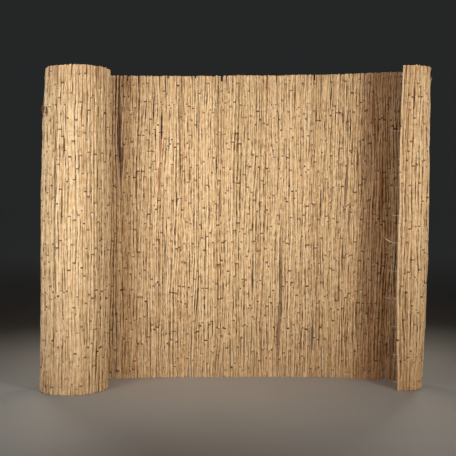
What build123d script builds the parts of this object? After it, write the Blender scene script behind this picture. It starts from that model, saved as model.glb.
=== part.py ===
from build123d import *
import math
import os
from collections import namedtuple

# A reed screening mat that stands on its lower edge: reed stalks side by side, bound by rows of wire.
# Its left end is rolled up, its middle is a gently bowed panel, and its right end curls forward.
# The origin is under the middle of the whole mat, on the floor. +X runs along the panel to the
# curled end, +Y points out of the panel's back, +Z is up along the reeds.

# The mat laid flat
mat_height = 1200.0
mat_length = 3000.0
reed_pitch = 8.0
reed_thickness = 8.0
groove_thickness = 3.2

# The mat as it stands, seen from above, on the middle of its wall
roll_radius = 123.4
panel_radius = 3900.0
panel_length = 1050.0
bend_radius = 900.0
bend_angle = 15.7
curl_radius = 78.0
curl_angle = 184.0

# How far the reeds lean from upright towards the curled end, in degrees
mat_lean = 1.1

# The binding wires, which lie on the crests of the reeds along the outside of every curve
wire_rows = 12
wire_margin = 33.5
wire_size = 1.2
wire_clearance = 0.1
wire_slack = 2.0
wire_tails = (18.0, 18.0, 18.0, 45.0, 37.0, 52.0, 26.0, 15.0, 15.0, 34.0, 12.0, 12.0)

# Free space between the wires of one turn of the roll and the turn around it
turn_clearance = 3.0

# Slits where two neighbouring reeds stand apart: how far along the mat from where it leaves the
# roll, and in which band between two rows of wire, counted from the lowest
slit_width = 2.4
slit_margin = 6.0
slits = (
    (120, 3), (176, 8), (230, 5), (264, 1), (318, 9), (371, 4), (414, 7), (470, 2), (505, 10),
    (558, 6), (602, 0), (655, 8), (690, 3), (741, 5), (786, 9), (848, 10), (884, 4), (931, 1),
    (960, 6), (990, 10), (1022, 7), (1022, 8), (1069, 1), (1069, 2), (1120, 5), (1172, 9), (1230, 3),
)

# Sizes that follow from these
reed_count = round(mat_length / reed_pitch)
reed_step = mat_length / reed_count
crest = reed_thickness / 2
wire_step = (mat_height - 2 * wire_margin) / (wire_rows - 1)
drift = math.tan(math.radians(mat_lean))
turn_pitch = reed_thickness + wire_clearance + wire_slack + wire_size + turn_clearance

Arc = namedtuple("Arc", "start length radius centre_x centre_y heading")


def roll_stretches():
    """The rolled part as half turns (radius, length), from its inner end to where it meets the panel."""
    length = mat_length - sum(length for radius, length in open_stretches())
    radius = roll_radius
    stretches = []
    while length > 0:
        half_turn = math.pi * radius
        stretches.insert(0, (radius, min(half_turn, length)))
        length -= half_turn
        radius -= turn_pitch / 2
    return stretches


def open_stretches():
    """The panel, the bend and the curl as arcs (radius, length), from the roll to the free edge."""
    return [
        (panel_radius, panel_length),
        (bend_radius, bend_radius * math.radians(bend_angle)),
        (curl_radius, curl_radius * math.radians(curl_angle)),
    ]


def lay_out(x, y):
    """Arcs that run on from each other and all turn the same way, from the roll's inner end at x, y."""
    rolled = roll_stretches()
    heading = sum(length / radius for radius, length in rolled) + panel_length / panel_radius / 2
    start = 0.0
    laid = []
    for radius, length in rolled + open_stretches():
        centre_x = x + radius * math.sin(heading)
        centre_y = y - radius * math.cos(heading)
        laid.append(Arc(start, length, radius, centre_x, centre_y, heading))
        start += length
        heading -= length / radius
        x = centre_x - radius * math.sin(heading)
        y = centre_y + radius * math.cos(heading)
    return laid


def arc_at(distance):
    """The arc that holds a distance along the mat, measured from the roll's inner end."""
    return [arc for arc in arcs if arc.start <= distance][-1]


def heading_at(distance):
    """The direction that the mat runs in at a distance along it, in radians from +X."""
    arc = arc_at(distance)
    return arc.heading - (distance - arc.start) / arc.radius


def place_at(distance, offset=0.0):
    """The point at a distance along the mat, offset towards the outside of its curves."""
    arc = arc_at(distance)
    heading = heading_at(distance)
    reach = arc.radius + offset
    return (arc.centre_x - reach * math.sin(heading), arc.centre_y + reach * math.cos(heading))


def wall_side(side):
    """One side of the wall: a groove between each two reeds and a crest on each reed."""
    points = []
    for i in range(2 * reed_count + 1):
        thickness = reed_thickness if i % 2 else groove_thickness
        points.append(place_at(i * reed_step / 2, side * thickness / 2))
    return points


def wire_side(lift, tail):
    """One side of a wire: flat runs that touch the crests, a lift away from them, and a straight tail."""
    points = [place_at(0.0, crest + lift)]
    for arc in arcs:
        touching = arc.radius + crest + wire_clearance
        widest_run = 2 * math.acos(1 - wire_slack / touching)
        runs = math.ceil(arc.length / arc.radius / widest_run)
        run = arc.length / runs
        corner = (arc.radius + crest + lift) / math.cos(run / arc.radius / 2)
        for k in range(runs):
            points.append(place_at(arc.start + (k + 0.5) * run, corner - arc.radius))
    x, y = place_at(mat_length, crest + lift)
    heading = heading_at(mat_length)
    points.append((x + tail * math.cos(heading), y + tail * math.sin(heading)))
    return points


def wire_outline(tail):
    """A wire's outline from above."""
    return wire_side(wire_clearance, tail) + wire_side(wire_clearance + wire_size, tail)[::-1]


# The mat is laid out twice: once to find the middle of its outline, then with that at the origin
arcs = lay_out(0.0, 0.0)
outline = wall_side(1) + wall_side(-1) + wire_outline(min(wire_tails))
middle_x = (min(x for x, y in outline) + max(x for x, y in outline) + drift * mat_height) / 2
middle_y = (min(y for x, y in outline) + max(y for x, y in outline)) / 2
arcs = lay_out(-middle_x, -middle_y)
panel_start = mat_length - sum(length for radius, length in open_stretches())

slit_places = []
for along, band in slits:
    groove = round((panel_start + along) / reed_step) * reed_step
    x, y = place_at(groove)
    z = wire_margin + (band % (wire_rows - 1) + 0.5) * wire_step
    slit_places.append(Location((x + drift * z, y, z), (0, 0, math.degrees(heading_at(groove)))))

os.makedirs("parts", exist_ok=True)

# Reeds: one ridged wall, with the slits that light passes through
with BuildPart() as reed_mat:
    with BuildSketch(Plane.XY):
        with BuildLine():
            Polyline(*wall_side(1), *wall_side(-1)[::-1], close=True)
        make_face()
    extrude(amount=mat_height / math.cos(math.radians(mat_lean)), dir=(drift, 0, 1))
    with Locations(*slit_places):
        Box(slit_width, 2 * reed_thickness, wire_step - 2 * slit_margin, mode=Mode.SUBTRACT)
reed_mat.part.label = "reed_mat"
export_step(reed_mat.part, "parts/reed_mat.step")

# Binding wires: one for each row, from the roll's inner end to a cut tail past the free edge
for row in range(wire_rows):
    wire_bottom = wire_margin + row * wire_step - wire_size / 2
    wire_tail = wire_tails[row % len(wire_tails)]
    with BuildPart() as binding_wire:
        with BuildSketch(Plane((drift * wire_bottom, 0, wire_bottom))):
            with BuildLine():
                Polyline(*wire_outline(wire_tail), close=True)
            make_face()
        extrude(amount=wire_size)
    binding_wire.part.label = f"binding_wire_{row + 1:02d}"
    export_step(binding_wire.part, f"parts/{binding_wire.part.label}.step")
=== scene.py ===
import math

import bpy
import numpy as np
from mathutils import Matrix, Vector


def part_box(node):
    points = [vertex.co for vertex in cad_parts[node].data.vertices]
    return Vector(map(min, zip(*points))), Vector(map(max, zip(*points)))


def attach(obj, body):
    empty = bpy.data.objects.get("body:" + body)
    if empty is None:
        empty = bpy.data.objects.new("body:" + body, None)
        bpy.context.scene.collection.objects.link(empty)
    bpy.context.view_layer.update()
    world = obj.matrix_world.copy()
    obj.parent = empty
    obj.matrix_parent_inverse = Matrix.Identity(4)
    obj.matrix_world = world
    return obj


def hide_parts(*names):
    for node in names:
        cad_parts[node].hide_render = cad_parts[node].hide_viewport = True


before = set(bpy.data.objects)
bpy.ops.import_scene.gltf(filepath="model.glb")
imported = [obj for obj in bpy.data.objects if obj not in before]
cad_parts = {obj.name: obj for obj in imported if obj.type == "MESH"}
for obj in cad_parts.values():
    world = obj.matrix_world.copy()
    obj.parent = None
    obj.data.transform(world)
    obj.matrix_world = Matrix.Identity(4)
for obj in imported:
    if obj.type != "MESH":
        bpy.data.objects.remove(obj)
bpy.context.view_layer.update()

# Reeds
# Some five hundred dry stalks of common reed, hollow, jointed at dark knots and sawn to one length.
# They stand side by side, in two loose layers, and the mat that they make is rolled up at one end,
# open as a bowed panel in the middle, and curled forward at the other end.

# The mat's plan, as arcs: half turns of the roll, then the panel, the bend and the curl
MAT_LENGTH = 3.0
MAT_LEAN = math.tan(math.radians(1.1))
WALL_HALF = 0.004
ROLL_RADIUS = 0.1234
TURN_PITCH = 0.0143
PANEL_RADIUS = 3.9
PANEL_LENGTH = 1.05
BEND_RADIUS = 0.9
BEND_TURN = math.radians(15.7)
CURL_RADIUS = 0.078
CURL_TURN = math.radians(184)
EDGE_SAMPLES = 6001

mat_low, mat_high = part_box("reed_mat")
mat_height = mat_high.z - mat_low.z
bend_length = BEND_RADIUS * BEND_TURN
curl_length = CURL_RADIUS * CURL_TURN
panel_start = MAT_LENGTH - PANEL_LENGTH - bend_length - curl_length
bend_start = panel_start + PANEL_LENGTH


def half_turns(length):
    """The rolled-up length as arcs (radius, length), from its inner end out to the panel."""
    radius = ROLL_RADIUS
    turns = []
    while length > 0:
        turns.insert(0, (radius, min(math.pi * radius, length)))
        length -= math.pi * radius
        radius -= TURN_PITCH / 2
    return turns


rolled_arcs = half_turns(panel_start)
open_arcs = [(PANEL_RADIUS, PANEL_LENGTH), (BEND_RADIUS, bend_length), (CURL_RADIUS, curl_length)]
arc_radii, arc_lengths = np.array(rolled_arcs + open_arcs).T
arc_starts = np.cumsum(arc_lengths) - arc_lengths
arc_turns = arc_lengths / arc_radii
first_heading = arc_turns[: len(rolled_arcs)].sum() + arc_turns[len(rolled_arcs)] / 2
arc_headings = first_heading - (np.cumsum(arc_turns) - arc_turns)


def outward(heading):
    """The direction across the mat, to the outside of its curves."""
    return np.stack((-np.sin(heading), np.cos(heading)), axis=-1)


arc_runs = arc_radii[:, None] * (outward(arc_headings - arc_turns) - outward(arc_headings))
arc_centres = np.cumsum(arc_runs, axis=0) - arc_runs - arc_radii[:, None] * outward(arc_headings)


def on_mat(along, out):
    """Points at distances along the mat and out from its middle, and the direction outward there."""
    arc = np.clip(np.searchsorted(arc_starts, along, side="right") - 1, 0, len(arc_starts) - 1)
    facing = outward(arc_headings[arc] - (along - arc_starts[arc]) / arc_radii[arc])
    return arc_centres[arc] + facing * (arc_radii[arc] + out)[..., None], facing


# The plan is moved so that its corner is the corner of the mat in the frame
edge_along = np.linspace(0, MAT_LENGTH, EDGE_SAMPLES)
edge_points = [on_mat(edge_along, np.full(EDGE_SAMPLES, out))[0] for out in (-WALL_HALF, WALL_HALF)]
arc_centres += np.array(mat_low)[:2] - np.concatenate(edge_points).min(axis=0)

# How many reeds there are, how thick, how far apart, and how unevenly they were cut
SEED = 27
REED_COUNT = 500
REED_RADIUS = 0.0038
RADIUS_LIMITS = (0.0022, 0.0048)
REED_OVERLAP = 1.20
REED_TAPER = 0.12
STEP_SPREAD = (0.60, 1.40)
LAYER_APART = 0.0022
LAYER_SPREAD = 0.16
FOOT_RISE = 0.003
TOP_SPREAD = 0.0010
TOP_LIMIT = 0.003
SHORT_SHARE = 0.10
SHORT_RADIUS = 0.0034
SHORT_BY = (0.008, 0.024)
LIP_LENGTH = 0.16
LIP_DROP = 0.003

rng = np.random.default_rng(SEED)
reed_steps = rng.uniform(*STEP_SPREAD, REED_COUNT)
reed_steps *= MAT_LENGTH / reed_steps.sum()
reed_along = np.cumsum(reed_steps) - reed_steps / 2
reed_radii = np.clip(reed_steps * REED_OVERLAP / 2, *RADIUS_LIMITS)
reed_layer = np.where(np.arange(REED_COUNT) % 2, 0.5, -0.5) + rng.normal(0, LAYER_SPREAD, REED_COUNT)
reed_taper = rng.uniform(-REED_TAPER, REED_TAPER, REED_COUNT)
reed_bottom = rng.uniform(0, FOOT_RISE, REED_COUNT)
reed_top = mat_height + np.clip(rng.normal(0, TOP_SPREAD, REED_COUNT), -TOP_LIMIT, TOP_LIMIT)
reed_short = (rng.random(REED_COUNT) < SHORT_SHARE) & (reed_radii < SHORT_RADIUS)
reed_top -= np.where(reed_short, rng.uniform(*SHORT_BY, REED_COUNT), 0.0)
reed_top -= LIP_DROP * (reed_along > MAT_LENGTH - LIP_LENGTH)

# Swells that neighbours share, along the mat and out of it: size, span along the mat and span up it
SWAYS = ((0.0034, 0.37, 1.4), (0.0018, 0.12, -0.62), (0.0008, 0.05, 0.33))
BULGES = ((0.0020, 0.61, 1.3), (0.0010, 0.21, -0.6))
# Bends that each reed has of its own, along the mat and out of it: size and span
OWN_BENDS = ((0.0005, 0.11), (0.0009, 0.23), (0.0011, 0.6))
DEPTH_BENDS = ((0.0010, 0.12), (0.0011, 0.27))
# Short gaps between two reeds: how many, how far each pushes the two, and its shortest and longest span
GAPS_EACH = 11
GAP_PUSH = 0.0007
GAP_SPANS = (0.012, 0.030)

sway_phases = rng.uniform(0, math.tau, len(SWAYS))
bulge_phases = rng.uniform(0, math.tau, len(BULGES))
side_phases = rng.uniform(0, math.tau, (REED_COUNT, len(OWN_BENDS)))
depth_phases = rng.uniform(0, math.tau, (REED_COUNT, len(DEPTH_BENDS)))
gap_heights = rng.uniform(0, mat_height, (REED_COUNT + 1, GAPS_EACH))
gap_spans = rng.uniform(*GAP_SPANS, (REED_COUNT + 1, GAPS_EACH))
gap_pushes = GAP_PUSH * np.abs(rng.normal(0, 1, (REED_COUNT + 1, GAPS_EACH)))

# Slits that light passes through: metres along from the panel's start, and which band between wires
SLITS = (
    (0.120, 3), (0.176, 8), (0.230, 5), (0.264, 1), (0.318, 9), (0.371, 4), (0.414, 7), (0.470, 2),
    (0.505, 10), (0.558, 6), (0.602, 0), (0.655, 8), (0.690, 3), (0.741, 5), (0.786, 9), (0.848, 10),
    (0.884, 4), (0.931, 1), (0.960, 6), (0.990, 10), (1.022, 7), (1.022, 8), (1.069, 1), (1.069, 2),
    (1.120, 5), (1.172, 9), (1.230, 3),
)
# How far a slit pushes the reeds beside it, over how many reeds that fades, and its share of its band
SLIT_PUSH = 0.0026
SLIT_REACH = 2.2
SLIT_SHARE = 0.55
# How far to the right the roll's left side and the curled end's right side stand: heights, and distances
ROLL_WAIST = (
    (0.0, 0.15, 0.55, 0.80, 0.90, 1.06, 1.20),
    (-0.006, -0.003, -0.005, 0.0005, 0.0025, 0.006, 0.012),
)
CURL_BELLY = (
    (0.0, 0.31, 0.55, 0.79, 1.0, 1.18),
    (-0.009, 0.0, 0.004, 0.006, 0.003, -0.002),
)
FREE_MARGIN = 0.001
WIRE_ROWS = 12
WIRE_MARGIN = 0.0335
wire_step = (mat_height - 2 * WIRE_MARGIN) / (WIRE_ROWS - 1)


def swell(waves, phases, along, height):
    """The sum of the swells at a place on the mat."""
    total = 0.0
    for (size, span_along, span_up), phase in zip(waves, phases):
        total = total + size * np.sin(math.tau * (along / span_along + height / span_up) + phase)
    return total


def own_bend(bends, phases, height):
    """The bends of one reed at heights up it."""
    total = 0.0
    for (size, span), phase in zip(bends, phases):
        total = total + size * np.sin(math.tau * height / span + phase)
    return total


def gap_push(reed, height):
    """How far a reed is pushed along the mat by the gaps and slits beside it."""
    total = 0.0
    for gap, side in ((reed, 1), (reed + 1, -1)):
        for middle, span, push in zip(gap_heights[gap], gap_spans[gap], gap_pushes[gap]):
            total = total + side * push * np.exp(-((height - middle) / span) ** 2)
    for slit_along, band in SLITS:
        gap = np.searchsorted(reed_along, panel_start + slit_along) - 0.5
        middle = WIRE_MARGIN + (band + 0.5) * wire_step
        open_here = np.exp(-((height - middle) / (SLIT_SHARE * wire_step)) ** 2)
        nearness = math.exp(-(abs(reed - gap) - 0.5) / SLIT_REACH)
        total = total + math.copysign(SLIT_PUSH * nearness, reed - gap) * open_here
    return total


def reed_axis(reed, height):
    """Where the middle of a reed is at heights up it: along the mat and out from the mat's middle."""
    at = reed_along[reed]
    along = at + swell(SWAYS, sway_phases, at, height) + own_bend(OWN_BENDS, side_phases[reed], height)
    along = np.clip(along + gap_push(reed, height), FREE_MARGIN, MAT_LENGTH - FREE_MARGIN)
    out = reed_layer[reed] * LAYER_APART + swell(BULGES, bulge_phases, at, height)
    return along, out + own_bend(DEPTH_BENDS, depth_phases[reed], height)


def reed_radius(reed, height):
    """How thick a reed is at heights up it."""
    return reed_radii[reed] * (1 + reed_taper[reed] * (height / mat_height - 0.5))


def nearest_reed(along):
    """The number of the reed that stands nearest to a distance along the mat."""
    return np.abs(reed_along - along).argmin()


def lean_over(plan, along, facing, height):
    """Points of the mat's plan at heights up it, with its lean and the waist and belly of its two ends."""
    on_left = np.clip(-facing[..., 0], 0, 1) * (along < panel_start)
    on_right = np.clip(facing[..., 0], 0, 1) * (along > bend_start)
    waist = np.interp(height, *ROLL_WAIST) * on_left + np.interp(height, *CURL_BELLY) * on_right
    return np.column_stack((plan[:, 0] + MAT_LEAN * height + waist, plan[:, 1], height))


def beside_reed(reed, across, out, height):
    """Points in the row frame, given from the middle of a reed: along the mat, out of it, and up."""
    reed_at, reed_out = reed_axis(reed, height)
    middle, facing = on_mat(reed_at, reed_out)
    running = np.stack((facing[..., 1], -facing[..., 0]), axis=-1)
    plan = middle + running * across[..., None] + facing * out[..., None]
    return lean_over(plan, reed_at, facing, height)


# One reed as it is modelled: its sides, its knots, the rings between them and its open ends
REED_SIDES = 8
KNOT_REACH = 0.0055
KNOT_GIRTH = 1.16
KNOT_TOP_MARGIN = 0.025
RING_STEP = 0.030
SAME_RING = 0.0001
END_WALL = 0.0012
END_DEPTH = 0.014
END_FACING = 0.9
BARK_ANGLE = math.radians(50)
# The reeds to copy from: the height of the lowest knot, and from knot to knot
REED_KINDS = (
    (0.060, 0.185), (0.115, 0.160), (0.030, 0.205), (0.150, 0.172), (0.085, 0.192), (0.135, 0.150),
)
# A reed's map: a strip of bark, and below it the two ends as rings round a middle of their own
MAP_NAME = "OFBake"
BARK_WIDTH = 0.9
ENDS_HEIGHT = 0.07
LOW_END_MIDDLE = 0.25
HIGH_END_MIDDLE = 0.75
HOLLOW_RING = 0.10
MOUTH_RING = 0.19
RIM_RING = 0.24
RING_STRETCH = 1.9


def deselect():
    """Leaves nothing selected, so that the next operator acts on its own piece alone."""
    bpy.ops.object.select_all(action="DESELECT")


def pick_faces(piece, chosen):
    """In edit mode, selects just the faces that chosen says yes to."""
    bpy.ops.object.mode_set(mode="OBJECT")
    for part in (piece.data.vertices, piece.data.edges, piece.data.polygons):
        part.foreach_set("select", np.zeros(len(part), dtype=bool))
    for face in piece.data.polygons:
        face.select = chosen(face)
    bpy.ops.object.mode_set(mode="EDIT")
    bpy.ops.mesh.select_mode(type="FACE")


def mesh_points(mesh):
    """Where the points of a mesh are, one row for each."""
    points = np.empty(len(mesh.vertices) * 3)
    mesh.vertices.foreach_get("co", points)
    return points.reshape(-1, 3)


def set_mark(mesh, name, values):
    """Gives each point of a mesh a number that a material reads by its name."""
    mark = mesh.attributes.new(name, "FLOAT", "POINT")
    mark.data.foreach_set("value", np.asarray(values, dtype=np.float32))


def cut_ring(height, girth=1.0):
    """In edit mode, cuts a ring of edges round the whole reed and widens it."""
    bpy.ops.mesh.select_all(action="SELECT")
    bpy.ops.mesh.bisect(plane_co=(0, 0, height), plane_no=(0, 0, 1))
    if girth != 1.0:
        bpy.ops.transform.resize(value=(girth, girth, 1), center_override=(0, 0, height))


def model_reed(name, first_knot, knot_gap):
    """One straight reed with its knots and its open ends, its marks and its map."""
    deselect()
    bpy.ops.mesh.primitive_cylinder_add(
        vertices=REED_SIDES, radius=REED_RADIUS, depth=mat_height, location=(0, 0, mat_height / 2)
    )
    reed = bpy.context.object
    reed.name = name
    bpy.ops.object.transform_apply(location=True, rotation=False, scale=False)
    bpy.ops.object.mode_set(mode="EDIT")
    knots = np.arange(first_knot, mat_height - KNOT_TOP_MARGIN, knot_gap)
    for knot in knots:
        cut_ring(knot - KNOT_REACH)
        cut_ring(knot, KNOT_GIRTH)
        cut_ring(knot + KNOT_REACH)
    stops = np.concatenate(([0.0], knots, [mat_height]))
    for low, high in zip(stops[:-1], stops[1:]):
        cuts = max(1, round((high - low) / RING_STEP))
        for k in range(1, cuts):
            cut_ring(low + (high - low) * k / cuts)
    pick_faces(reed, lambda face: abs(face.normal.z) > END_FACING)
    bpy.ops.mesh.inset(thickness=END_WALL, depth=0.0)
    bpy.ops.mesh.extrude_region_shrink_fatten(TRANSFORM_OT_shrink_fatten={"value": -END_DEPTH})
    bpy.ops.object.mode_set(mode="OBJECT")
    bpy.ops.object.shade_smooth_by_angle(angle=BARK_ANGLE)
    reed["knots"] = list(knots)
    mark_reed(reed.data, knots)
    return reed


def mark_reed(mesh, knots):
    """Marks where a reed has its knots, the pale bloom over them and the deep part of its hollow, which gets
    painted shade, and draws its map.
    """
    points = mesh_points(mesh)
    heights = points[:, 2]
    inside = np.hypot(points[:, 0], points[:, 1]) < REED_RADIUS - END_WALL / 2
    # The deep inside of each open end, which is painted dark as the shade down the hollow
    deep = inside & (heights > END_DEPTH / 2) & (heights < mat_height - END_DEPTH / 2)
    set_mark(mesh, "joint", np.abs(heights[:, None] - knots).min(axis=1) < SAME_RING)
    set_mark(mesh, "bloom", np.abs(heights[:, None] - knots - KNOT_REACH).min(axis=1) < SAME_RING)
    set_mark(mesh, "hollow", deep)
    bark_map = mesh.uv_layers[0]
    bark_map.name = MAP_NAME
    for face in mesh.polygons:
        ids = np.array(face.vertices)
        around = np.arctan2(points[ids, 1], points[ids, 0]) / math.tau + 0.5
        on_bark = not inside[ids].any() and abs(face.normal.z) < END_FACING
        if on_bark and np.ptp(around) > 0.5:
            around[around < 0.5] += 1
        ring = np.where(deep[ids], HOLLOW_RING, np.where(inside[ids], MOUTH_RING, RIM_RING))
        end_middle = LOW_END_MIDDLE if heights[ids].mean() < mat_height / 2 else HIGH_END_MIDDLE
        if on_bark:
            columns = BARK_WIDTH * around
            rows = ENDS_HEIGHT + (1 - ENDS_HEIGHT) * heights[ids] / mat_height
        else:
            columns = end_middle + ring * np.cos(math.tau * around)
            rows = ENDS_HEIGHT * (0.5 + RING_STRETCH * ring * np.sin(math.tau * around))
        for loop, column, row in zip(face.loop_indices, columns, rows):
            bark_map.data[loop].uv = (column, row)


class Grain:
    """A socket of a material's nodes. Sums on it add Math nodes, and node adds any other node."""

    def __init__(self, tree, socket=None):
        self.tree = tree
        self.socket = socket

    def node(self, kind, settings=None, sockets=None, output=0):
        """A new node, with its settings and the values or links of its sockets."""
        made = self.tree.nodes.new(kind)
        for name, value in (settings or {}).items():
            if name == "stops":
                while len(made.color_ramp.elements) < len(value):
                    made.color_ramp.elements.new(1.0)
                for stop, (position, colour) in zip(made.color_ramp.elements, value):
                    stop.position = position
                    stop.color = (*colour, 1.0)
            else:
                setattr(made, name, value)
        for name, value in (sockets or {}).items():
            if isinstance(value, Grain):
                self.tree.links.new(value.socket, made.inputs[name])
            else:
                made.inputs[name].default_value = value
        return Grain(self.tree, made.outputs[output] if len(made.outputs) else None)

    def sum_with(self, operation, first, second):
        """A Math node on two values, either of which may be a plain number."""
        return self.node("ShaderNodeMath", {"operation": operation}, {0: first, 1: second})

    def __add__(self, other):
        return self.sum_with("ADD", self, other)

    def __sub__(self, other):
        return self.sum_with("SUBTRACT", self, other)

    def __rsub__(self, other):
        return self.sum_with("SUBTRACT", other, self)

    def __mul__(self, other):
        return self.sum_with("MULTIPLY", self, other)

    __radd__ = __add__
    __rmul__ = __mul__

    def mark(self, name):
        """The number that each point of the mesh has under a name."""
        return self.node("ShaderNodeAttribute", {"attribute_name": name}, output="Fac")

    def rise(self, low, high):
        """0 below low, 1 above high, and smooth between them."""
        ranged = {"Value": self, "From Min": low, "From Max": high}
        return self.node("ShaderNodeMapRange", {"interpolation_type": "SMOOTHSTEP"}, ranged)

    def noise(self, scale, detail):
        """Noise over these coordinates, with a scale for each axis."""
        stretched = self.node("ShaderNodeMapping", {}, {"Vector": self, "Scale": scale})
        return self.node("ShaderNodeTexNoise", {}, {"Vector": stretched, "Scale": 1.0, "Detail": detail})

    def swing(self, size):
        """This noise, which has its middle at a half, as a swing to both sides of nothing."""
        return (self - 0.5) * size

    def ramp(self, stops):
        """The colour that this value has on a ramp."""
        return self.node("ShaderNodeValToRGB", {"stops": stops}, {"Fac": self})

    def tinted(self, colour, amount):
        """This colour mixed with another."""
        settings = {"data_type": "RGBA", "clamp_factor": True}
        return self.node("ShaderNodeMix", settings, {0: amount, 6: self, 7: (*colour, 1.0)}, 2)

    def bump(self, strength, relief):
        """The surface's direction where this value is its height."""
        wanted = {"Strength": strength, "Distance": relief, "Height": self}
        return self.node("ShaderNodeBump", {}, wanted, "Normal")

    def surface(self, sockets):
        """Ends the material in a surface with these values and links."""
        finish = self.node("ShaderNodeBsdfPrincipled", {}, sockets)
        self.node("ShaderNodeOutputMaterial", {}, {"Surface": finish})


def start_material(name):
    """A new material with no nodes yet, a first socket to build them from, and its coordinates."""
    material = bpy.data.materials.new(name)
    material.use_nodes = True
    material.node_tree.nodes.clear()
    start = Grain(material.node_tree)
    return material, start, start.node("ShaderNodeTexCoord", output="Object")


STRAW_STOPS = (
    (0.0, (0.36, 0.205, 0.085)),
    (0.35, (0.55, 0.345, 0.165)),
    (0.65, (0.68, 0.455, 0.235)),
    (1.0, (0.80, 0.585, 0.34)),
)
STRAW_GREEN = (0.56, 0.45, 0.17)
BLUSH_RED = (0.38, 0.155, 0.062)
OLD_BROWN = (0.095, 0.042, 0.029)
KNOT_BROWN = (0.110, 0.038, 0.007)
# Painted shade: the brown that darkens each reed's flanks where it meets its neighbours
CREVICE_SHADE_BROWN = (0.105, 0.048, 0.015)
BLOOM_PALE = (0.82, 0.66, 0.43)
# Painted shade: the dark of the deep inside of each open end, standing in for the shadow down the hollow
DEEP_HOLLOW_SHADE = (0.10, 0.06, 0.03)
# How fine each grain is along the three axes, in waves to a metre
LENGTHS_SCALE = (1, 1, 46)
STREAKS_SCALE = (430, 430, 26)
PATCHES_SCALE = (95, 95, 24)
SPECKS_SCALE = (520, 520, 130)
# The blotches in which the painted shade between reeds is deeper
SHADE_BLOTCH_SCALE = (85, 85, 56)
OWN_LENGTHS_APART = 300.0
# How far a grain shifts the tone
LENGTHS_SHIFT = 1.7
STREAKS_SHIFT = 0.8
PATCHES_SHIFT = 0.3
# How strong a tint is, and over which values of its mark or grain it comes in
GREEN_TINT = 0.3
BLOOM_TINT = 0.35
BLOOM_RISE = (0.3, 1.0)
BLUSH_TINT = 0.55
BLUSH_STREAKS = 0.5
AGED_TINT = 0.65
AGED_PATCHES = 0.5
SPECKS_TINT = 0.55
SPECKS_RISE = (0.70, 0.80)
# The painted shade between reeds: how dark it is on every flank, and how much deeper it is in blotches
CREVICE_SHADE_TINT = 0.34
CREVICE_SHADE_RISE = (0.60, 0.95)
SHADE_BLOTCH_TINT = 0.65
SHADE_BLOTCH_RISE = (0.46, 0.60)
KNOT_RISE = (0.40, 0.62)
BARK_BUMP = 0.35
BARK_RELIEF = 0.0004
BARK_ROUGHNESS = 0.48
STREAKS_ROUGHNESS = 0.3
BARK_SPECULAR = 0.14

dry_reed, reed_start, reed_place = start_material("dry_reed")
reed_look = reed_start.node("ShaderNodeAttribute", {"attribute_name": "reed_look"}, output="Color")
reed_tone = reed_start.node("ShaderNodeSeparateColor", {}, {"Color": reed_look}, "Red")
reed_green = reed_start.node("ShaderNodeSeparateColor", {}, {"Color": reed_look}, "Green")
reed_own = reed_start.node("ShaderNodeSeparateColor", {}, {"Color": reed_look}, "Blue")
reed_height = reed_start.node("ShaderNodeSeparateXYZ", {}, {"Vector": reed_place}, "Z")
own_place = reed_start.node(
    "ShaderNodeCombineXYZ", {}, {"X": reed_own * OWN_LENGTHS_APART, "Z": reed_height}
)
reed_lengths = own_place.noise(LENGTHS_SCALE, detail=2.0)
reed_streaks = reed_place.noise(STREAKS_SCALE, detail=3.0)
reed_patches = reed_place.noise(PATCHES_SCALE, detail=2.0)
reed_specks = reed_place.noise(SPECKS_SCALE, detail=1.0)
reed_shade_blotches = reed_place.noise(SHADE_BLOTCH_SCALE, detail=2.0)
tone_here = reed_tone + reed_lengths.swing(LENGTHS_SHIFT)
tone_here = tone_here + reed_streaks.swing(STREAKS_SHIFT) + reed_patches.swing(PATCHES_SHIFT)
bloom_here = reed_start.mark("bloom").rise(*BLOOM_RISE) * BLOOM_TINT
blush_here = reed_start.mark("blush") * (BLUSH_TINT + reed_streaks * BLUSH_STREAKS)
aged_here = reed_start.mark("aged") * (AGED_TINT + reed_patches * AGED_PATCHES)
# Painted shade: each reed's flanks, where it meets its neighbours, are darkened, and more so in blotches
shade_depth_here = CREVICE_SHADE_TINT + reed_shade_blotches.rise(*SHADE_BLOTCH_RISE) * SHADE_BLOTCH_TINT
crevice_shade_here = reed_start.mark("flank").rise(*CREVICE_SHADE_RISE) * shade_depth_here
knot_here = reed_start.mark("knot") * reed_start.mark("joint").rise(*KNOT_RISE)
reed_colour = tone_here.ramp(STRAW_STOPS)
reed_colour = reed_colour.tinted(STRAW_GREEN, reed_green * GREEN_TINT)
reed_colour = reed_colour.tinted(BLOOM_PALE, bloom_here)
reed_colour = reed_colour.tinted(BLUSH_RED, blush_here)
reed_colour = reed_colour.tinted(OLD_BROWN, aged_here)
reed_colour = reed_colour.tinted(OLD_BROWN, reed_specks.rise(*SPECKS_RISE) * SPECKS_TINT)
# The painted shade between reeds
reed_colour = reed_colour.tinted(CREVICE_SHADE_BROWN, crevice_shade_here)
reed_colour = reed_colour.tinted(KNOT_BROWN, knot_here)
# Painted shade: the deep inside of each open end is darkened, as if the hollow ran on into shadow
reed_colour = reed_colour.tinted(DEEP_HOLLOW_SHADE, reed_start.mark("hollow"))
reed_start.surface({
    "Base Color": reed_colour,
    "Roughness": BARK_ROUGHNESS + reed_streaks * STREAKS_ROUGHNESS,
    "Normal": reed_streaks.bump(BARK_BUMP, BARK_RELIEF),
    "Specular IOR Level": BARK_SPECULAR,
})

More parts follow.
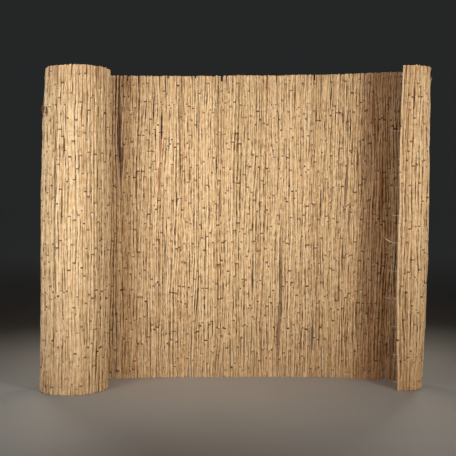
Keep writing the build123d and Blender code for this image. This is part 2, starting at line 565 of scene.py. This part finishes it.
# How reeds differ: their tones, how many are green, how dark their knots are, and how strong the painted
# shade on the flanks outside is
WARP = 0.35
UPRIGHT_SHARE = 0.5
TONES = (0.66, 0.15)
FREE_EDGE_TONE = 1.0
GREEN_SHARE = 0.05
GREENS = (0.3, 0.9)
FAINT_GREEN = 0.12
KNOT_SHARE = 0.75
KNOT_DARKNESS = (0.7, 1.0)
FAINT_KNOT = 0.25
OUTSIDE_FLANK_SHADE = 0.765
# The marks of age and blush: the share of reeds that have one, and about how long it can be
REED_MARKS = (("aged", 0.035, 0.6), ("blush", 0.06, 0.16))
MARK_REACH = (0.2, 0.5)
MARK_STRENGTH = (0.4, 1.0)
MARK_FADE = 1.5
# Reeds with a mark where it shows most: metres along from the panel's start, the mark, from and to
MARKED_REEDS = (
    (0.148, "aged", 0.86, 1.36), (0.156, "aged", 0.82, 1.30), (0.164, "aged", 0.70, 1.12),
    (0.182, "blush", 1.15, 1.20), (0.200, "blush", 1.12, 1.20), (0.318, "blush", 0.74, 0.98),
    (-0.300, "blush", 1.16, 1.20), (1.150, "blush", 0.98, 1.14), (1.190, "blush", 0.62, 0.86),
)
BUNDLE_SIZE = 20
BUNDLE_MAP_MARGIN = 0.03

reed_kinds = [model_reed(f"reed_kind_{k}", *kind) for k, kind in enumerate(REED_KINDS)]
kind_points = [mesh_points(kind.data) for kind in reed_kinds]
own_marks = {}
for mark_along, mark_name, mark_low, mark_high in MARKED_REEDS:
    own_marks[nearest_reed(panel_start + mark_along), mark_name] = (mark_low, mark_high)


def mark_strength(reed, name, share, longest, height):
    """How strong a mark is at heights up a reed: most have none, and it fades out at both its ends."""
    middle = rng.uniform(0, mat_height) if name == "aged" else mat_height
    half = rng.uniform(*MARK_REACH) * longest
    strength = rng.uniform(*MARK_STRENGTH) if rng.random() < share else 0.0
    if (reed, name) in own_marks:
        low, high = own_marks[reed, name]
        strength = 1.0
        middle = (low + high) / 2
        half = (high - low) / 2
    return strength * np.clip(MARK_FADE - np.abs(height - middle) / half, 0, 1)


def copy_of(model):
    """A copy of a modelled piece, with a mesh of its own."""
    copy = model.copy()
    copy.data = model.data.copy()
    bpy.context.collection.objects.link(copy)
    return copy


def narrow_map(mesh, column, columns, margin):
    """Moves a mesh's map into one of several columns, for pieces that are then joined."""
    places = np.empty(len(mesh.loops) * 2)
    mesh.uv_layers[MAP_NAME].data.foreach_get("uv", places)
    places[0::2] = (column + margin + (1 - 2 * margin) * places[0::2]) / columns
    mesh.uv_layers[MAP_NAME].data.foreach_set("uv", places)


def join_pieces(pieces):
    """Joins pieces to the first of them."""
    deselect()
    for piece in pieces:
        piece.select_set(True)
    bpy.context.view_layer.objects.active = pieces[0]
    bpy.ops.object.join()
    return pieces[0]


def stand_reed(reed, column):
    """A copy of a modelled reed, turned, warped and bent to its place in the mat."""
    kind = rng.integers(len(reed_kinds))
    upright = rng.random() < UPRIGHT_SHARE
    spin = rng.uniform(0, math.tau)
    warp = rng.uniform(-WARP, WARP)
    copy = copy_of(reed_kinds[kind])
    first, side, level = kind_points[kind].T
    level = level / mat_height
    level = level + warp * np.sin(math.pi * level) / math.pi
    if not upright:
        level = 1 - level
        side = -side
    height = reed_bottom[reed] + level * (reed_top[reed] - reed_bottom[reed])
    girth = reed_radius(reed, height) / REED_RADIUS
    across = (first * math.cos(spin) - side * math.sin(spin)) * girth
    out = (first * math.sin(spin) + side * math.cos(spin)) * girth
    copy.data.vertices.foreach_set("co", beside_reed(reed, across, out, height).ravel())
    # The mark for the painted shade between reeds: strongest on the flanks that meet the neighbours, weaker
    # on the outside face
    flank = np.abs(across) / (REED_RADIUS * girth) * np.where(out > 0, OUTSIDE_FLANK_SHADE, 1.0)
    set_mark(copy.data, "flank", flank)
    colour_reed(copy.data, kind, reed, height)
    narrow_map(copy.data, column, BUNDLE_SIZE, BUNDLE_MAP_MARGIN)
    return copy


def colour_reed(mesh, kind, reed, height):
    """Gives a standing reed the darkness of its knots, its own look and its marks."""
    knots = np.array(reed_kinds[kind]["knots"])
    shows = rng.random(len(knots)) < KNOT_SHARE
    darkness = np.where(shows, rng.uniform(*KNOT_DARKNESS, len(knots)), FAINT_KNOT)
    nearest_knot = np.abs(kind_points[kind][:, 2, None] - knots).argmin(axis=1)
    set_mark(mesh, "knot", darkness[nearest_knot])
    green = rng.uniform(*GREENS) if rng.random() < GREEN_SHARE else rng.uniform(0, FAINT_GREEN)
    tone = FREE_EDGE_TONE if reed == REED_COUNT - 1 else np.clip(rng.normal(*TONES), 0, 1)
    look = np.array((tone, green, rng.random(), 1.0), dtype=np.float32)
    look_mark = mesh.attributes.new("reed_look", "FLOAT_COLOR", "POINT")
    look_mark.data.foreach_set("color", np.tile(look, len(height)))
    for name, share, longest in REED_MARKS:
        set_mark(mesh, name, mark_strength(reed, name, share, longest, height))


def bind_bundle(name, reeds):
    """Reeds that stand beside each other, joined as one piece."""
    bundle = join_pieces([stand_reed(reed, column) for column, reed in enumerate(reeds)])
    bundle.name = name
    bundle.data.name = name
    bundle.data.materials.clear()
    bundle.data.materials.append(dry_reed)
    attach(bundle, "root")
    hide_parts("reed_mat")


for stretch, start, end in (
    ("roll_reeds", 0.0, panel_start),
    ("panel_reeds", panel_start, bend_start),
    ("curl_reeds", bend_start, MAT_LENGTH),
):
    standing = np.flatnonzero((reed_along >= start) & (reed_along < end))
    bundles = np.array_split(standing, math.ceil(len(standing) / BUNDLE_SIZE))
    for number, bundle_reeds in enumerate(bundles, 1):
        bind_bundle(f"{stretch}_{number:02d}", bundle_reeds)
for kind in reed_kinds:
    bpy.data.objects.remove(kind)

# Binding wires
# Twelve rows of galvanised wire. In each, a stout runner lies along the outside of the reeds, and a
# thin lacing wire runs over three reeds on the inside, then passes between two and round the runner.
# At the free edge the two are twisted together into a short cut tail.

RUNNER_RADIUS = 0.0006
LACING_RADIUS = 0.00035
TAIL_RADIUS = 0.0009
STOUT_ROUNDNESS = 1
THIN_ROUNDNESS = 0
REEDS_PER_STITCH = 3
TAUT_OVER_REEDS = 5
# The lacing's turn round the runner: how far along from the gap, and how far up, each of its points is
TURN_ALONG = (-0.0008, -0.0006, 0.0002, 0.0008, 0.0010)
TURN_UP = (0.0, 0.0016, 0.0, -0.0016, 0.0)
# The cut tails, from the bottom row up: their lengths, and how far their ends rise
WIRE_TAILS = (0.018, 0.018, 0.018, 0.045, 0.037, 0.052, 0.026, 0.015, 0.015, 0.034, 0.012, 0.012)
TAIL_RISES = (0.001, -0.001, 0.0, 0.004, 0.002, 0.018, -0.002, 0.0, 0.001, 0.001, 0.0, 0.001)
# How far a tail sags, where it starts as a share of its length, and the number of its points
TAIL_SAG = 0.0022
TAIL_ROOT = -0.1
TAIL_POINTS = 8
ZINC_DULL = (0.36, 0.27, 0.18)
ZINC_PALE = (0.52, 0.42, 0.30)
ZINC_STOPS = ((0.35, ZINC_DULL), (0.7, ZINC_PALE))
# Painted highlight: the pale that the wire tails are painted, where they catch the light
TAIL_HIGHLIGHT_PALE = (0.95, 0.82, 0.70)
RUST_BROWN = (0.20, 0.10, 0.05)
CLOUDS_SCALE = (160, 160, 160)
RUST_SCALE = (55, 55, 55)
RUST_RISE = (0.62, 0.74)
RUST_TINT = 0.7
ZINC_METAL = 0.35
RUST_DULLS_METAL = 0.3
ZINC_ROUGHNESS = 0.36
CLOUDS_ROUGHNESS = 0.25
RUST_ROUGHNESS = 0.2

zinc_wire, wire_start, wire_place = start_material("galvanised_wire")
zinc_clouds = wire_place.noise(CLOUDS_SCALE, detail=3.0)
rust_spots = wire_place.noise(RUST_SCALE, detail=4.0).rise(*RUST_RISE)
zinc_colour = zinc_clouds.ramp(ZINC_STOPS).tinted(RUST_BROWN, rust_spots * RUST_TINT)
# The tails get a painted highlight: their whole length is painted pale, as they catch the light
wire_start.surface({
    "Base Color": zinc_colour.tinted(TAIL_HIGHLIGHT_PALE, wire_start.mark("cut_end")),
    "Metallic": ZINC_METAL - rust_spots * RUST_DULLS_METAL,
    "Roughness": ZINC_ROUGHNESS + zinc_clouds * CLOUDS_ROUGHNESS + rust_spots * RUST_ROUGHNESS,
})


def draw_wire(name, points, radius, roundness):
    """A round wire through points, as a mesh."""
    curve = bpy.data.curves.new(name, "CURVE")
    curve.dimensions = "3D"
    curve.bevel_depth = radius
    curve.bevel_resolution = roundness
    curve.use_fill_caps = True
    spline = curve.splines.new("POLY")
    spline.points.add(len(points) - 1)
    spline.points.foreach_set("co", np.column_stack((points, np.ones(len(points)))).ravel())
    wire = bpy.data.objects.new(name, curve)
    bpy.context.collection.objects.link(wire)
    deselect()
    wire.select_set(True)
    bpy.context.view_layer.objects.active = wire
    bpy.ops.object.convert(target="MESH")
    bpy.ops.object.shade_smooth()
    return wire


def mat_points(along, out, height):
    """Points in the row frame, given along the mat, out from its middle, and up."""
    plan, facing = on_mat(along, out)
    return lean_over(plan, along, facing, height)


def runner_points(centres, crests, height, tail, rise):
    """The runner's line over the crests of the reeds, its cut tail past the last, and its distances out."""
    taut = np.maximum(np.maximum(crests, np.roll(crests, 1)), np.roll(crests, -1))
    taut = np.pad(taut, TAUT_OVER_REEDS // 2, mode="edge")
    taut = np.convolve(taut, np.ones(TAUT_OVER_REEDS) / TAUT_OVER_REEDS, mode="valid")
    taut = np.maximum(taut, crests) + RUNNER_RADIUS
    run = mat_points(centres, taut, np.full(len(centres), height))
    end, before = run[-1], run[-3]
    ahead = (end - before) / np.linalg.norm(end - before)
    reach = np.linspace(TAIL_ROOT, 1, TAIL_POINTS)[:, None]
    loose = end + ahead * tail * reach + np.array((0, 0, rise)) * reach**2
    loose[:, 2:] -= TAIL_SAG * np.sin(math.pi * np.clip(reach, 0, 1))
    return run, loose, taut


def lacing_points(centres, troughs, taut, height):
    """The lacing wire's line: over a few reeds inside, out between two, round the runner and back."""
    points = []
    for first in range(0, len(centres) - REEDS_PER_STITCH, REEDS_PER_STITCH):
        last = first + REEDS_PER_STITCH
        gap = (centres[last - 1] + centres[last]) / 2
        inner = troughs[first:last].min() - LACING_RADIUS
        between = (inner + taut[last]) / 2
        beyond = taut[last] + RUNNER_RADIUS
        for reed in range(first, last):
            points.append((centres[reed], inner, height))
        turn_out = (between, beyond, beyond + LACING_RADIUS, beyond, between)
        for along, out, up in zip(TURN_ALONG, turn_out, TURN_UP):
            points.append((gap + along, out, height + up))
    return mat_points(*np.array(points).T)


for row in range(WIRE_ROWS):
    node = f"binding_wire_{row + 1:02d}"
    row_height = WIRE_MARGIN + row * wire_step
    axes = [reed_axis(reed, row_height) for reed in range(REED_COUNT)]
    thick = np.array([reed_radius(reed, row_height) for reed in range(REED_COUNT)])
    centres, outs = np.array(axes).T
    order = np.argsort(centres)
    centres, outs, thick = centres[order], outs[order], thick[order]
    run, loose, taut = runner_points(centres, outs + thick, row_height, WIRE_TAILS[row], TAIL_RISES[row])
    lace = lacing_points(centres, outs - thick, taut, row_height)
    runner = draw_wire(f"wire_row_{row + 1:02d}", run, RUNNER_RADIUS, STOUT_ROUNDNESS)
    tail = draw_wire(f"tail_{row + 1:02d}", loose, TAIL_RADIUS, STOUT_ROUNDNESS)
    lacing = draw_wire(f"lacing_{row + 1:02d}", lace, LACING_RADIUS, THIN_ROUNDNESS)
    for strand in (runner, tail, lacing):
        # Marks the tails for their painted highlight
        set_mark(strand.data, "cut_end", np.full(len(strand.data.vertices), strand is tail))
    join_pieces((runner, tail, lacing))
    runner.data.materials.clear()
    runner.data.materials.append(zinc_wire)
    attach(runner, "root")
    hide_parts(node)

# Leaf sheaths
# Scraps of the dry, papery sheaths that the leaves wrapped round the stalks. Each still clings to its
# reed at its foot and stands a little off it at its torn tip.

SHEATH_COUNT = 70
SHEATH_THICK = 0.0003
SHEATH_COLUMNS = 6
SHEATH_ROWS = 9
SHEATH_CLEARANCE = 1.05
SHEATH_TURN = 0.4
SHEATH_CURVE = 1.5
SHEATH_ANGLE = math.radians(60)
SHEATH_MAP_MARGIN = 0.1
TORN_FROM = 0.9
TORN_LENGTHS = (0.75, 1.0)
TIP_BROWNING = 0.25
# Sheaths at the outline: metres along and up, length, side, half its wrap, its taper, flare and brownness
OUTLINE_SHEATHS = (
    (1.252, 1.016, 0.054, 1, 1.1, 0.60, 0.0120, 0.45),
    (1.243, 1.012, 0.048, 1, 1.5, 0.45, 0.0110, 0.70),
    (1.234, 1.018, 0.052, 1, 1.3, 0.70, 0.0085, 0.60),
    (1.225, 1.014, 0.040, 1, 1.4, 0.50, 0.0060, 0.80),
    (1.216, 1.022, 0.036, 1, 1.2, 0.55, 0.0040, 0.65),
    (1.207, 1.020, 0.038, 1, 1.3, 0.50, 0.0030, 0.80),
    (1.196, 1.028, 0.032, 1, 1.2, 0.60, 0.0020, 0.60),
    (1.240, 0.950, 0.022, 1, 0.9, 0.40, 0.0060, 0.2),
    (2.855, 1.140, 0.060, 1, 1.3, 0.45, 0.0085, 0.05),
    (2.850, 1.105, 0.062, 1, 1.2, 0.55, 0.0065, 0.1),
)
# The other sheaths, which lie anywhere on the stretch of the mat that shows, in the same measures
SHOWN_LENGTH = 1.94
SHOWN_MARGIN = 0.01
LOWEST_FOOT = 0.02
HIGHEST_FOOT_MARGIN = 0.16
SCRAP_LENGTHS = (0.03, 0.12)
SCRAP_WRAPS = (0.5, 1.2)
SCRAP_TAPERS = (0.6, 0.8)
SCRAP_FLARES = (0.0005, 0.0030)
SCRAP_BROWNS = (0.05, 0.15, 0.3, 0.6)
SHEATH_PALE = (0.74, 0.56, 0.34)
SHEATH_TAN = (0.50, 0.31, 0.15)
SHEATH_BROWN = (0.16, 0.075, 0.035)
SHEATH_DARK = (0.040, 0.016, 0.007)
SHEATH_STOPS = ((0.0, SHEATH_PALE), (0.35, SHEATH_TAN), (0.7, SHEATH_BROWN), (1.0, SHEATH_DARK))
FIBRES_SCALE = (900, 900, 20)
BLOTS_SCALE = (150, 150, 60)
FIBRES_SHIFT = 0.6
BLOTS_SHIFT = 0.5
SHEATH_BUMP = 0.4
SHEATH_RELIEF = 0.0003
SHEATH_ROUGHNESS = 0.55
FIBRES_ROUGHNESS = 0.3
SHEATH_SPECULAR = 0.2

dry_sheath, sheath_start, sheath_place = start_material("dry_sheath")
sheath_fibres = sheath_place.noise(FIBRES_SCALE, detail=3.0)
sheath_blots = sheath_place.noise(BLOTS_SCALE, detail=2.0)
sheath_tone = sheath_start.mark("brown") + sheath_fibres.swing(FIBRES_SHIFT) + sheath_blots.swing(BLOTS_SHIFT)
sheath_start.surface({
    "Base Color": sheath_tone.ramp(SHEATH_STOPS),
    "Roughness": SHEATH_ROUGHNESS + sheath_fibres * FIBRES_ROUGHNESS,
    "Normal": sheath_fibres.bump(SHEATH_BUMP, SHEATH_RELIEF),
    "Specular IOR Level": SHEATH_SPECULAR,
})

deselect()
bpy.ops.mesh.primitive_grid_add(x_subdivisions=SHEATH_COLUMNS, y_subdivisions=SHEATH_ROWS, size=1.0)
flat_sheath = bpy.context.object
flat_sheath.data.uv_layers[0].name = MAP_NAME
flat_points = mesh_points(flat_sheath.data)


def wrap_sheath(column, along, foot, length, side, wrap, taper, flare, brown):
    """A copy of the flat sheath, wrapped round the reed that is nearest."""
    reed = nearest_reed(along)
    copy = copy_of(flat_sheath)
    rise = flat_points[:, 1] + 0.5
    torn = rng.uniform(*TORN_LENGTHS, len(rise))
    height = foot + length * rise * np.where(rise > TORN_FROM, torn, 1.0)
    middle = rng.uniform(-SHEATH_TURN, SHEATH_TURN)
    turn = middle + 2 * flat_points[:, 0] * wrap * (1 - taper * rise**SHEATH_CURVE)
    reach = reed_radius(reed, height) * SHEATH_CLEARANCE + SHEATH_THICK + flare * rise**SHEATH_CURVE
    places = beside_reed(reed, reach * np.sin(turn), side * reach * np.cos(turn), height)
    copy.data.vertices.foreach_set("co", places.ravel())
    set_mark(copy.data, "brown", np.clip(brown + TIP_BROWNING * (rise - 0.5), 0, 1))
    narrow_map(copy.data, column, SHEATH_COUNT, SHEATH_MAP_MARGIN)
    return copy


scraps = [wrap_sheath(column, *sheath) for column, sheath in enumerate(OUTLINE_SHEATHS)]
for column in range(len(OUTLINE_SHEATHS), SHEATH_COUNT):
    along = rng.uniform(MAT_LENGTH - SHOWN_LENGTH, MAT_LENGTH - SHOWN_MARGIN)
    foot = rng.uniform(LOWEST_FOOT, mat_height - HIGHEST_FOOT_MARGIN)
    side = rng.choice((-1, 1)) if along > panel_start else 1
    wrap = rng.uniform(*SCRAP_WRAPS)
    taper = rng.uniform(*SCRAP_TAPERS)
    flare = rng.uniform(*SCRAP_FLARES)
    brown = rng.choice(SCRAP_BROWNS)
    length = rng.uniform(*SCRAP_LENGTHS)
    scraps.append(wrap_sheath(column, along, foot, length, side, wrap, taper, flare, brown))
bpy.data.objects.remove(flat_sheath)
sheaths = join_pieces(scraps)
sheaths.name = "leaf_sheaths"
thicken = sheaths.modifiers.new("thicken", "SOLIDIFY")
thicken.thickness = SHEATH_THICK
thicken.offset = 0.0
bpy.ops.object.modifier_apply(modifier="thicken")
bpy.ops.object.mode_set(mode="EDIT")
bpy.ops.mesh.select_all(action="SELECT")
bpy.ops.mesh.normals_make_consistent(inside=False)
bpy.ops.object.mode_set(mode="OBJECT")
bpy.ops.object.shade_smooth_by_angle(angle=SHEATH_ANGLE)
sheaths.data.materials.clear()
sheaths.data.materials.append(dry_sheath)
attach(sheaths, "root")

# Stray stalk
# A thin, dark, broken bit of stalk, three centimetres long. It lies across the panel's inner face, where
# it is caught on the reeds, and it has the brown of an old sheath.

# Its points: metres along the mat, out from the mat's middle, and up
STRAY_POINTS = (
    (1.719, -0.0078, 0.9030),
    (1.728, -0.0080, 0.9045),
    (1.738, -0.0080, 0.9040),
    (1.748, -0.0084, 0.9015),
)
STRAY_RADIUS = 0.0013
STRAY_BROWN = 0.95

stray = draw_wire("stray_stalk", mat_points(*np.array(STRAY_POINTS).T), STRAY_RADIUS, STOUT_ROUNDNESS)
set_mark(stray.data, "brown", np.full(len(stray.data.vertices), STRAY_BROWN))
stray.data.materials.clear()
stray.data.materials.append(dry_sheath)
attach(stray, "root")

# Studio
# A plain pale floor, two soft boxes at each side of the mat, two more behind it and one above, a weak
# warm bounce from the room, and a camera at the photograph's viewing angle.

FLOOR_RADIUS = 60.0
FLOOR_SIDES = 96
FLOOR_SHADE = (0.55, 0.52, 0.48)
FLOOR_PALE = (0.60, 0.57, 0.53)
FLOOR_STOPS = ((0.3, FLOOR_SHADE), (0.7, FLOOR_PALE))
FLOOR_FAR = (0.97, 0.97, 0.97)
FLOOR_SCALE = (1.3, 1.3, 1.3)
FAR_RISE = (2.5, 8.0)
FLOOR_ROUGHNESS = 0.85

deselect()
bpy.ops.mesh.primitive_circle_add(vertices=FLOOR_SIDES, radius=FLOOR_RADIUS, fill_type="NGON")
floor = bpy.context.object
floor.name = "studio_floor"
floor_paper, floor_start, floor_place = start_material("floor_paper")
floor_reach = floor_start.node("ShaderNodeVectorMath", {"operation": "LENGTH"}, {0: floor_place}, "Value")
floor_colour = floor_place.noise(FLOOR_SCALE, detail=2.0).ramp(FLOOR_STOPS)
floor_colour = floor_colour.tinted(FLOOR_FAR, floor_reach.rise(*FAR_RISE))
floor_start.surface({"Base Color": floor_colour, "Roughness": FLOOR_ROUGHNESS})
floor.data.materials.append(floor_paper)

COOL_WHITE = (0.92, 1.0, 1.07)
PLAIN_WHITE = (1.0, 0.98, 0.90)
WARM_WHITE = (1.0, 0.93, 0.82)
WARM_BOUNCE = (1.0, 0.33, 0.05)
# Each soft box: where it stands, what it points at, width and height, spread in degrees, watts and colour
SOFT_BOXES = {
    "left_box": ((-1.14, -1.13, 0.68), (-0.53, 0.0, 0.69), (0.8, 1.5), 62, 3.22, COOL_WHITE),
    "far_left_box": ((-1.70, -1.50, 0.50), (0.05, 0.05, 0.98), (0.8, 0.9), 60, 1.6, COOL_WHITE),
    "right_box": ((1.52, -2.00, 0.84), (-0.02, 0.08, 0.95), (0.5, 0.95), 60, 3.3, COOL_WHITE),
    "far_right_box": ((1.80, -2.22, 0.66), (0.05, 0.03, 0.82), (0.5, 1.1), 62, 4.25, PLAIN_WHITE),
    "room_bounce": ((0.0, -4.5, 1.4), (0.0, 0.0, 1.1), (5.0, 2.2), 110, 12.8, WARM_BOUNCE),
    "top_box": ((-0.05, -0.45, 3.4), (-0.05, -0.40, 0.0), (2.2, 1.0), 60, 1.6, COOL_WHITE),
    "back_left_box": ((-1.70, 2.40, 1.20), (-0.25, 0.15, 1.0), (0.95, 0.95), 62, 5.8, WARM_WHITE),
    "back_right_box": ((1.70, 2.40, 1.20), (0.25, 0.15, 1.0), (0.95, 0.95), 62, 5.8, WARM_WHITE),
}
for name, (stand, target, (width, tall), spread, watts, colour) in SOFT_BOXES.items():
    deselect()
    bpy.ops.object.light_add(type="AREA", location=stand)
    box = bpy.context.object
    box.name = name
    box.data.shape = "RECTANGLE"
    box.data.size = width
    box.data.size_y = tall
    box.data.color = colour
    box.data.spread = math.radians(spread)
    box.data.energy = watts
    box.visible_camera = False
    box.rotation_mode = "QUATERNION"
    box.rotation_quaternion = (Vector(target) - Vector(stand)).to_track_quat("-Z", "Y")

# The bounce stands for the light that reeds throw on each other, so it leaves the floor out
kept_plain = bpy.data.collections.new("kept_plain")
kept_plain.objects.link(floor)
kept_plain.collection_objects[0].light_linking.link_state = "EXCLUDE"
bpy.data.objects["room_bounce"].light_linking.receiver_collection = kept_plain

AIR_COLOUR = (0.94, 0.97, 1.0, 1.0)
AIR_STRENGTH = 0.020

studio_air = bpy.data.worlds.new("studio_air")
studio_air.use_nodes = True
studio_air.node_tree.nodes["Background"].inputs["Color"].default_value = AIR_COLOUR
studio_air.node_tree.nodes["Background"].inputs["Strength"].default_value = AIR_STRENGTH
bpy.context.scene.world = studio_air
bpy.context.scene.view_settings.view_transform = "Standard"

CAMERA_PLACE = (-0.059, -3.002, 0.715)
CAMERA_YAW = math.radians(-0.66)
CAMERA_PITCH = math.radians(-2.13)
CAMERA_ROLL = math.radians(-0.35)
CAMERA_LENS = 62.3
CAMERA_SENSOR = 36.0

deselect()
bpy.ops.object.camera_add(location=CAMERA_PLACE)
camera = bpy.context.object
camera.name = "photo_camera"
camera.data.lens = CAMERA_LENS
camera.data.sensor_width = CAMERA_SENSOR
camera.data.dof.use_dof = False
level_pitch = math.cos(CAMERA_PITCH)
right = Vector((math.cos(CAMERA_YAW), math.sin(CAMERA_YAW), 0))
ahead = Vector((-right.y * level_pitch, right.x * level_pitch, math.sin(CAMERA_PITCH)))
turned = Matrix((right, right.cross(ahead), -ahead)).transposed() @ Matrix.Rotation(CAMERA_ROLL, 3, "Z")
camera.rotation_mode = "QUATERNION"
camera.rotation_quaternion = turned.to_quaternion()
bpy.context.scene.camera = camera
